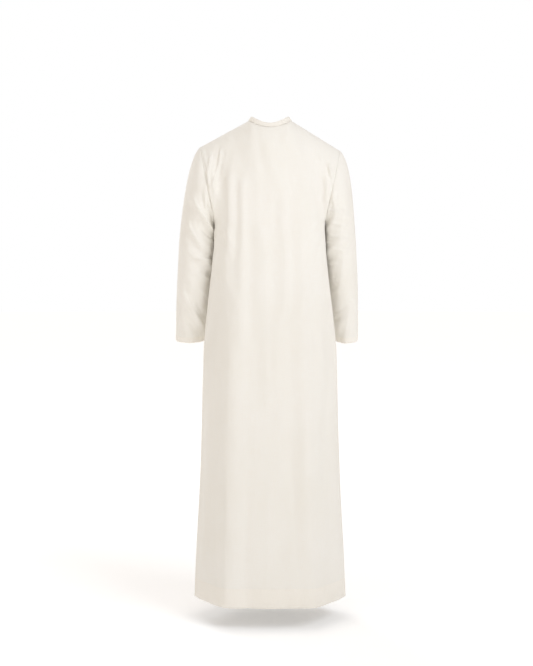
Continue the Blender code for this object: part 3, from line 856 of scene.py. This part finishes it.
def mesh_object(name, points, faces, material, uv=None, double=None):
    """A smooth mesh of the given points and faces, with the cloth coordinates of the faces' corners."""
    mesh = bpy.data.meshes.new(name)
    mesh.from_pydata(points.tolist(), [], faces)
    mesh.update()
    mesh.shade_smooth()
    mesh.materials.append(material)
    if uv is not None:
        mesh.uv_layers.new(name="cloth").data.foreach_set("uv", uv.astype(np.float32).ravel())
    if double is not None:
        attribute = mesh.attributes.new("double", "FLOAT", "POINT")
        attribute.data.foreach_set("value", double.astype(np.float32).ravel())
    return placed(name, mesh)


def shell(name, grid, material, sign, double, closed=False, slit=None):
    """A thin piece of cloth through a grid of points. Slit is the row and column where an opening starts."""
    rows, columns = grid.shape[:2]
    index = np.arange(rows * columns).reshape(rows, columns)
    points = grid.reshape(-1, 3)
    uv = np.stack([run_along(grid, 1), run_along(grid, 0)], axis=-1).reshape(-1, 2)
    double = np.broadcast_to(double, (rows, columns)).reshape(-1)
    right = index.copy()
    if slit is not None:
        row, column = slit
        parted = index[row + 1 :, column]
        right[row + 1 :, column] = len(points) + np.arange(len(parted))
        gap = np.array([SLIT_HALF_GAP, 0.0, 0.0])
        other = points[parted] - gap
        points[parted] += gap
        points = np.concatenate([points, other])
        uv, double = np.concatenate([uv, uv[parted]]), np.concatenate([double, double[parted]])
    if closed:
        index = np.concatenate([index, index[:, :1]], axis=1)
        right = index
    low, high = slice(None, -1), slice(1, None)
    corners = [right[low, low], index[low, high], index[high, high], right[high, low]]
    faces = np.stack(corners if sign > 0 else corners[::-1], axis=-1).reshape(-1, 4)
    at_corners = uv[faces]
    if closed:
        full = run_along(grid, 1)[:, -1] + np.linalg.norm(grid[:, 0] - grid[:, -1], axis=-1)
        ends = [full[:-1], full[1:]]
        at_corners[columns - 1 :: columns, 1:3, 0] = np.stack(ends if sign > 0 else ends[::-1], axis=-1)
    made = mesh_object(name, points, faces.tolist(), material, at_corners, double)
    wall = made.modifiers.new("cloth", "SOLIDIFY")
    wall.thickness = CLOTH_THICKNESS
    wall.offset = 0.0
    return made


def folded_strip(name, loops, material):
    """A flat band of doubled cloth, through closed sections along it."""
    count, around = loops.shape[:2]
    index = np.arange(count * around).reshape(count, around)
    nxt = np.roll(index, -1, axis=1)
    faces = np.stack([index[:-1], index[1:], nxt[1:], nxt[:-1]], axis=-1).reshape(-1, 4).tolist()
    half = around // 2
    for row, step in ((index[0], 1), (index[-1], -1)):
        for k in range(half - 1):
            quad = [row[k], row[k + 1], row[around - 2 - k], row[around - 1 - k]]
            faces.append([int(corner) for corner in quad[::step]])
    uv = np.stack([run_along(loops, 1), run_along(loops, 0)], axis=-1).reshape(-1, 2)
    at_corners = uv[[corner for face in faces for corner in face]]
    return mesh_object(name, loops.reshape(-1, 3), faces, material, at_corners, np.ones(count * around))


def at_distance(grid, distance):
    """A line of points across a grid, at a distance along the cloth from its first row."""
    run = run_along(grid, 0)
    return np.array([read_at(distance, run[:, k], grid[:, k]) for k in range(grid.shape[1])])


def stitches(name, paths, material, pitch=STITCH_PITCH, length=STITCH_LENGTH, radius=STITCH_RADIUS):
    """Small raised stitches along lines of points that carry their normals."""
    one = []
    for k in range(4):
        after = (k + 1) % 4
        one += [(0, 1 + k, 1 + after), (1 + k, 6 + k, 6 + after, 1 + after), (5, 6 + after, 6 + k)]
    points = []
    for line, normals in paths:
        run = line_run(line)
        count = max(int(run[-1] / pitch), 1)
        middle = (np.arange(count) + 0.5) * run[-1] / count
        normal = unit(read_at(middle, run, normals))
        along = unit(read_at(middle + length / 2, run, line) - read_at(middle - length / 2, run, line))
        aside = unit(np.cross(normal, along))
        corners = []
        for end in (-0.5, 0.5):
            corners.append(read_at(middle + end * length, run, line) - normal * radius * STITCH_SINK)
            thickest = read_at(middle + end * length * STITCH_SHOULDER, run, line)
            thickest += normal * radius * STITCH_RISE
            for up, out in ((STITCH_FLATNESS, 0.0), (0.0, 1.0), (-STITCH_FLATNESS, 0.0), (0.0, -1.0)):
                corners.append(thickest + (normal * up + aside * out) * radius)
        points.append(np.stack(corners, axis=1).reshape(-1, 3))
    points = np.concatenate(points)
    faces = [[first + corner for corner in face] for first in range(0, len(points), 10) for face in one]
    return mesh_object(name, points, faces, material)


class Nodes:
    """A short way to build the nodes of a material or a world."""

    def __init__(self, owner):
        owner.use_nodes = True
        self.owner = owner
        self.tree = owner.node_tree

    def fill(self, node, inputs):
        """Gives each input its number or colour, or a link from another node."""
        for socket, value in inputs.items():
            if isinstance(value, (float, tuple)):
                node.inputs[socket].default_value = value
            else:
                self.tree.links.new(value, node.inputs[socket])

    def add(self, kind, inputs=None, **settings):
        node = self.tree.nodes.new(kind)
        for key, value in settings.items():
            setattr(node, key, value)
        self.fill(node, inputs or {})
        return node

    def place(self):
        return self.add("ShaderNodeTexCoord").outputs["Object"]

    def math(self, operation, *values):
        return self.add("ShaderNodeMath", dict(enumerate(values)), operation=operation).outputs[0]

    def noise(self, vector, scale, detail=3.0):
        inputs = {"Vector": vector, "Scale": scale, "Detail": detail}
        return self.add("ShaderNodeTexNoise", inputs).outputs["Fac"]

    def blend(self, share, first, second):
        inputs = {0: share, 6: first, 7: second}
        return self.add("ShaderNodeMix", inputs, data_type="RGBA").outputs[2]

    def bump(self, height, strength, depth):
        inputs = {"Height": height, "Strength": strength, "Distance": depth}
        return self.add("ShaderNodeBump", inputs).outputs["Normal"]

    def surface(self, inputs):
        """The finished material, once its shader has these inputs."""
        self.fill(self.tree.nodes["Principled BSDF"], inputs)
        return self.owner


def cloth_material():
    """Cream cloth in a plain weave, with slubs, a soft bloom and a warmer tone where it lies double. There,
    painted light also makes the doubled cloth lighter, to even out the shade towards the hem.
    """
    nodes = Nodes(bpy.data.materials.new("cream_cloth"))
    uv = nodes.add("ShaderNodeUVMap", uv_map="cloth").outputs["UV"]
    parts = nodes.add("ShaderNodeSeparateXYZ", {"Vector": uv})
    turns = 2 * math.pi / THREAD_PITCH
    across, up = (nodes.math("SINE", nodes.math("MULTIPLY", parts.outputs[axis], turns)) for axis in "XY")
    weave = nodes.math("MULTIPLY", across, up)

    def threads(*scale):
        stretched = nodes.add("ShaderNodeMapping", {"Vector": uv, "Scale": (*scale, 1.0)})
        return nodes.noise(stretched.outputs["Vector"], 1.0, 2.0)

    slubs = nodes.math("ADD", threads(*SLUBS), threads(*SLUBS[::-1]))
    place = nodes.place()
    clouds = nodes.noise(place, CLOUDS)
    bloom = nodes.noise(place, BLOOM, 5.0)

    def spread(value, low, high):
        inputs = {"Value": value, "From Min": low, "From Max": high}
        return nodes.add("ShaderNodeMapRange", inputs).outputs["Result"]

    colour = nodes.blend(spread(clouds, 0.30, 0.70), CREAM, CREAM_LIGHT)
    double = nodes.add("ShaderNodeAttribute", attribute_name="double").outputs["Fac"]
    tones = (
        # doubled cloth: its own warmer tone, plus painted light that lightens it
        (double, DOUBLE_WITH_PAINTED_LIGHT_SHARE, CREAM_DOUBLE_WITH_PAINTED_LIGHT),
        (spread(slubs, 0.85, 1.25), SLUB_SHARE, CREAM_WARM),
        (spread(bloom, 0.4, 0.75), BLOOM_SHARE, CREAM_LIGHT),
    )
    for where, share, tone in tones:
        colour = nodes.blend(nodes.math("MULTIPLY", where, share), colour, tone)
    height = nodes.math("ADD", nodes.math("MULTIPLY", weave, 0.5), nodes.math("MULTIPLY", slubs, 0.8))
    return nodes.surface({
        "Base Color": colour,
        "Normal": nodes.bump(height, 0.45, WEAVE_DEPTH),
        "Roughness": nodes.math("ADD", nodes.math("MULTIPLY", bloom, 0.12), 0.74),
        "Specular IOR Level": 0.3,
        "Sheen Weight": 0.20,
        "Sheen Roughness": 0.45,
    })


def thread_material():
    """Cream sewing thread with a fine twist."""
    nodes = Nodes(bpy.data.materials.new("thread"))
    twist = nodes.noise(nodes.place(), TWIST, 2.0)
    return nodes.surface({
        "Base Color": nodes.blend(twist, THREAD, CREAM_LIGHT),
        "Normal": nodes.bump(twist, 0.3, TWIST_DEPTH),
        "Roughness": 0.55,
        "Sheen Weight": 0.15,
    })


def button_material():
    """Cream resin with faint cloudy layers, like shell."""
    nodes = Nodes(bpy.data.materials.new("button_resin"))
    clouds = nodes.add("ShaderNodeTexNoise", {"Vector": nodes.place(), **SHELL_CLOUDS}).outputs["Fac"]
    return nodes.surface({
        "Base Color": nodes.blend(clouds, SHELL, SHELL_LIGHT),
        "Roughness": nodes.math("ADD", nodes.math("MULTIPLY", clouds, 0.15), 0.22),
        "Coat Weight": 0.3,
    })


def shared_seams(drawn, normals):
    """Normals along each seam, halfway between those of the two pieces that meet there."""
    under = drawn["back"].shape[0] - 1 - YOKE_ROWS
    found = {}
    for edge, name in ((0, "left"), (-1, "right")):
        sleeve_round = normals[f"sleeve_{name}"][0]
        behind = sleeve_round[YOKE_ROWS::-1]
        in_front = np.roll(sleeve_round, -YOKE_ROWS, axis=0)[: YOKE_ROWS + 1]
        other = {"back": "front", "front": "back"}
        for panel_name, armhole in (("back", behind), ("front", in_front)):
            own = normals[panel_name][:, edge]
            beyond = np.concatenate([normals[other[panel_name]][:under, edge], armhole])
            found[panel_name, edge] = unit(own + beyond)
        back_hole, front_hole = (found[key, edge][under:] for key in ("back", "front"))
        found[f"sleeve_{name}"] = np.concatenate([back_hole[::-1], front_hole[1:-1]])
    for panel_name, other_name in (("back", "front"), ("front", "back")):
        top = normals[panel_name][-1].copy()
        for shoulder in (slice(None, SHOULDER_COLUMNS + 1), slice(-SHOULDER_COLUMNS - 1, None)):
            top[shoulder] = unit(top[shoulder] + normals[other_name][-1][shoulder])
        found[panel_name, "top"] = top
    return found


def extended(line, count):
    """A line of normals whose ends are repeated."""
    return np.concatenate([np.repeat(line[:1], count, axis=0), line, np.repeat(line[-1:], count, axis=0)])


def panel_cloth(name, drawn, normals, seams, material):
    """The back or the front, hemmed, with its edges turned in at the seams."""
    inside = nearest(drawn[name][:, 0, 2], HEM_Z + HEM_DEPTH)
    grid = hemmed(drawn[name], normals[name], inside)
    for edge in (0, -1):
        grid = lipped(grid, turned_up(seams[name, edge], inside), 1, edge == -1)
    grid = lipped(grid, extended(seams[name, "top"], len(SEAM_LIP) - 1), 0, True)
    slit = None
    if name == "front":
        middle, hem_rows = grid.shape[1] // 2, inside + HEM_TURN
        slit = (nearest(grid[hem_rows:, middle, 2], SLIT_END_Z) + hem_rows, middle)
    return shell(f"{name}_cloth", grid, material, PANELS[name][0], doubled(grid, inside), slit=slit)


def sleeve_cloth(name, drawn, normals, seams, material):
    """A sleeve with its cuff turned in and its armhole edge sewn in, round from its underarm."""
    grid, facing = drawn[f"sleeve_{name}"][::-1], normals[f"sleeve_{name}"][::-1]
    inside = nearest(run_along(grid, 0)[:, 0], CUFF_DEPTH)
    grid = lipped(hemmed(grid, facing, inside), seams[f"sleeve_{name}"], 0, True)
    grid = np.roll(grid, grid.shape[1] // 2, axis=1)
    return shell(f"sleeve_{name}_cloth", grid, material, SIDES[name], doubled(grid, inside), closed=True)


def neck_edge(drawn):
    """The neckline, from the middle of the front round by the left to the middle of the front."""
    neck = slice(SHOULDER_COLUMNS, -SHOULDER_COLUMNS)
    back, front = drawn["back"][-1, neck], drawn["front"][-1, neck]
    line = np.concatenate([front[NECK_COLUMNS::-1], back[1:-1], front[: NECK_COLUMNS - 1 : -1]])
    line[0, 0], line[-1, 0] = SLIT_HALF_GAP, -SLIT_HALF_GAP
    return line


def neckband(drawn, material):
    """The doubled band round the neck, and the lines and normals that its stitches follow."""
    line = neck_edge(drawn)
    inward = unit(line * np.array([-1.0, -1.0, 0.0]))
    along = unit(np.gradient(line, axis=0))
    along[[0, -1]] = (1.0, 0.0, 0.0)
    rise = inward * BAND_LEAN + UP
    rise = unit(rise - along * np.sum(rise * along, axis=-1, keepdims=True))
    out = unit(np.cross(rise, along))
    out *= np.sign(np.sum(out * -inward, axis=-1, keepdims=True))
    half = BAND_THICKNESS / 2

    def place(share, side):
        bow = BAND_BOW * math.sin(share * math.pi)
        return line + rise * (BAND_GAP + BAND_WIDTH * share) + out * (side * half + bow)

    def grooved(share):
        return 1.0 - BAND_GROOVE * math.exp(-((share - BAND_STITCHED[0]) / BAND_GROOVE_WIDTH) ** 2)

    section = [place(share, grooved(share)) for share in BAND_UP]
    section += [place(share, side) for share, side in BAND_TOP]
    section += [place(share, -side) for share, side in BAND_TOP[::-1]]
    section += [place(share, -1.0) for share in BAND_UP[::-1]]
    made = folded_strip("neckband_cloth", np.stack(section, axis=1), material)
    return made, [(place(share, 1.0) - out * CLOTH_THICKNESS / 2, out) for share in BAND_STITCHED]


def placket(name, front, half_width, lift, material):
    """A doubled strip down the front, the points of its outer side, and their normals."""
    middle = front.shape[1] // 2
    rows = front[nearest(front[:, middle, 2], PLACKET_END_Z) :].copy()
    rows[-1] += (rows[-2] - rows[-1]) * PLACKET_TOP_SHARE
    half = PLACKET_THICKNESS / 2
    edge = half * PLACKET_EDGE
    across = np.linspace(half_width - edge, edge - half_width, PLACKET_COLUMNS + 1)

    def on_front(xs):
        strip = []
        for row in rows:
            y, z = (np.interp(-xs, -row[:, 0], row[:, axis]) for axis in (1, 2))
            strip.append(np.stack([xs, y, z], axis=-1))
        return np.array(strip)

    points = on_front(across)
    facing = outward(points, -1.0)
    top = points + facing * (lift + half)
    bottom = points + facing * (lift - half)
    ends = on_front(np.array([half_width, -half_width]))
    left = ends[:, :1] + facing[:, :1] * lift
    right = ends[:, 1:] + facing[:, -1:] * lift
    loops = np.concatenate([left, top, right, bottom[:, ::-1]], axis=1)
    return folded_strip(name, loops, material), top, facing


def button(number, foot, normal, material):
    """A resin button with a raised rim and four holes, above a place on the front's cloth."""
    turns = np.linspace(0.0, 2 * math.pi, BUTTON_SIDES, endpoint=False)
    points = [(0.0, 0.0, BUTTON_PROFILE[0][1])]
    for radius, height in BUTTON_PROFILE[1:-1]:
        points += [(radius * math.cos(t), radius * math.sin(t), height) for t in turns]
    points.append((0.0, 0.0, BUTTON_PROFILE[-1][1]))
    faces = [[0, 1 + (k + 1) % BUTTON_SIDES, 1 + k] for k in range(BUTTON_SIDES)]
    rings = len(BUTTON_PROFILE) - 2
    for ring in range(rings - 1):
        low, high = 1 + ring * BUTTON_SIDES, 1 + (ring + 1) * BUTTON_SIDES
        for k in range(BUTTON_SIDES):
            after = (k + 1) % BUTTON_SIDES
            faces.append([low + k, low + after, high + after, high + k])
    last = 1 + (rings - 1) * BUTTON_SIDES
    faces += [[last + k, last + (k + 1) % BUTTON_SIDES, len(points) - 1] for k in range(BUTTON_SIDES)]
    made = mesh_object(f"button_disc_{number}", np.array(points), faces, material)
    cutters = []
    for hole in range(BUTTON_HOLES):
        angle = math.radians(45 + 90 * hole)
        x, y = BUTTON_HOLE_PLACE * math.cos(angle), BUTTON_HOLE_PLACE * math.sin(angle)
        bpy.ops.mesh.primitive_cylinder_add(
            vertices=BUTTON_HOLE_SIDES,
            radius=BUTTON_HOLE_RADIUS,
            depth=BUTTON_HOLE_CUT,
            location=(x, y, BUTTON_MIDDLE),
        )
        cutters.append(bpy.context.object)
        cut = made.modifiers.new("hole", "BOOLEAN")
        cut.object = cutters[-1]
        cut.operation = "DIFFERENCE"
    settled = bpy.data.meshes.new_from_object(made.evaluated_get(bpy.context.evaluated_depsgraph_get()))
    made.modifiers.clear()
    made.data = settled
    for cutter in cutters:
        bpy.data.objects.remove(cutter, do_unlink=True)
    made.data.transform(Vector(normal).to_track_quat("Z", "Y").to_matrix().to_4x4())
    made.data.transform(Matrix.Translation(Vector(foot + normal * BUTTON_LIFT)))
    return made


def button_seats(top, facing):
    """Where the buttons lie: points on the placket's face, and their normals."""
    middle = top.shape[1] // 2
    line, normals = top[::-1, middle], facing[::-1, middle]
    run = line_run(line)
    places = FIRST_BUTTON + BUTTON_SPACING * np.arange(BUTTON_COUNT)
    return list(zip(read_at(places, run, line), unit(read_at(places, run, normals))))


def buttons(top, facing, material):
    """The buttons on the placket's face, and the paths of the two threads across each."""
    bars = []
    for number, (seat, normal) in enumerate(button_seats(top, facing), start=1):
        foot = seat - normal * (PLACKET_LIFT + PLACKET_THICKNESS / 2)
        made = button(number, foot, normal, material)
        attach(made, "root")
        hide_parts(f"button_{number}")
        aside = unit(np.cross(normal, UP))
        upward = unit(np.cross(aside, normal))
        face = foot + normal * (BUTTON_LIFT + BUTTON_FACE)
        for side in (-BUTTON_THREAD_ASIDE, BUTTON_THREAD_ASIDE):
            ends = [face + aside * side + upward * along * BUTTON_THREAD_REACH for along in (-1.0, 0.0, 1.0)]
            bars.append((np.array(ends), np.array([normal] * 3)))
    return bars


def hem_lines(drawn, normals):
    """The paths of the hem's stitches, along the back and the front."""
    return [(at_distance(drawn[name], HEM_DEPTH), normals[name][0]) for name in PANELS]


def cuff_lines(drawn, normals):
    """The paths of the cuffs' stitches, each closed on itself."""
    paths = []
    for name in SIDES:
        line = at_distance(drawn[f"sleeve_{name}"][::-1], CUFF_DEPTH)
        facing = normals[f"sleeve_{name}"][-1]
        paths.append((np.concatenate([line, line[:1]]), np.concatenate([facing, facing[:1]])))
    return paths


def placket_lines(top, facing):
    """The paths of the placket's stitches: up both its sides, and across its lower end."""
    inset = round(TOP_STITCH_IN / (2 * PLACKET_HALF_WIDTH) * PLACKET_COLUMNS)
    line = top - facing * CLOTH_THICKNESS / 2
    sides = [(slice(PLACKET_SIDE_START, None), column) for column in (inset, -1 - inset)]
    bars = [(row, slice(inset, -inset)) for row in PLACKET_BARS]
    return [(line[place], facing[place]) for place in sides + bars]


def stage():
    """A pale floor with a glow that grows away from the robe, so that it has no edge."""
    bpy.ops.mesh.primitive_circle_add(
        vertices=FLOOR_SIDES, radius=FLOOR_RADIUS, fill_type="NGON", location=(0.0, 0.0, FLOOR_Z)
    )
    floor = bpy.context.object
    floor.name = "floor"
    nodes = Nodes(bpy.data.materials.new("floor"))
    away = nodes.add("ShaderNodeVectorMath", {0: nodes.place()}, operation="LENGTH").outputs["Value"]
    glow = nodes.add("ShaderNodeMapRange", {"Value": away, **FLOOR_GLOW}).outputs["Result"]
    floor.data.materials.append(nodes.surface({
        "Base Color": FLOOR,
        "Roughness": 0.9,
        "Specular IOR Level": 0.0,
        "Emission Color": WHITE,
        "Emission Strength": glow,
    }))


def surround():
    """A world that the camera sees as white, and that lights the robe with a warmer tone."""
    world = bpy.data.worlds.new("studio")
    nodes = Nodes(world)
    seen = nodes.tree.nodes["Background"]
    nodes.fill(seen, {"Color": WHITE, "Strength": 1.0})
    lighting = nodes.add("ShaderNodeBackground", {"Color": ROOM_COLOUR, "Strength": ROOM_LIGHT})
    by_camera = nodes.add("ShaderNodeLightPath").outputs["Is Camera Ray"]
    either = nodes.add("ShaderNodeMixShader", {0: by_camera, 1: lighting.outputs[0], 2: seen.outputs[0]})
    nodes.fill(nodes.tree.nodes["World Output"], {"Surface": either.outputs[0]})
    bpy.context.scene.world = world


def lights():
    """Soft lights, the strongest of them behind the robe and to the photograph's right."""
    for name, place, size, power, colour in LIGHTS:
        data = bpy.data.lights.new(name, "AREA")
        data.size = size
        data.energy = power
        data.color = colour
        lamp = placed(name, data)
        lamp.location = place
        lamp.rotation_euler = (Vector(LIGHTS_AIM) - Vector(place)).to_track_quat("-Z", "Y").to_euler()


def camera():
    """The photograph's view, from behind."""
    data = bpy.data.cameras.new("photograph")
    data.lens = LENS_MM
    data.sensor_width = SENSOR_MM
    made = placed("photograph", data)
    made.location = CAMERA_PLACE
    made.rotation_euler = (math.radians(90.0 - CAMERA_DOWN), 0.0, math.pi)
    bpy.context.scene.camera = made


def main():
    """The robe and its studio, in the loaded frame."""
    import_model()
    bpy.context.scene.view_settings.view_transform = "Standard"
    camera()
    stage()
    surround()
    lights()
    cloth, thread, resin = cloth_material(), thread_material(), button_material()

    drawn = {name: panel(name) for name in PANELS}
    normals = {name: outward(drawn[name], PANELS[name][0]) for name in PANELS}
    for name in SIDES:
        drawn[f"sleeve_{name}"] = sleeve(name)
        normals[f"sleeve_{name}"] = outward_round(drawn[f"sleeve_{name}"], -SIDES[name])
    seams = shared_seams(drawn, normals)

    pieces = {name: panel_cloth(name, drawn, normals, seams, cloth) for name in PANELS}
    for name in SIDES:
        pieces[f"sleeve_{name}"] = sleeve_cloth(name, drawn, normals, seams, cloth)
    pieces["neckband"], band_lines = neckband(drawn, cloth)
    over = placket("placket_over_cloth", drawn["front"], PLACKET_HALF_WIDTH, PLACKET_LIFT, cloth)
    pieces["placket_over"], top, facing = over
    under = placket("placket_under_cloth", drawn["front"], UNDERLAP_HALF_WIDTH, -PLACKET_LIFT, cloth)
    pieces["placket_under"] = under[0]

    sewn = {
        "hem": stitches("hem_stitches", hem_lines(drawn, normals), thread),
        "cuffs": stitches("cuff_stitches", cuff_lines(drawn, normals), thread),
        "neckband": stitches("neckband_stitches", band_lines, thread),
        "placket": stitches("placket_stitches", placket_lines(top, facing), thread),
        "buttons": stitches("button_threads", buttons(top, facing, resin), thread, *BUTTON_THREAD),
    }
    for made in sewn.values():
        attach(made, "root")
    for name, made in pieces.items():
        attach(made, "root")
        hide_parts(name)


main()
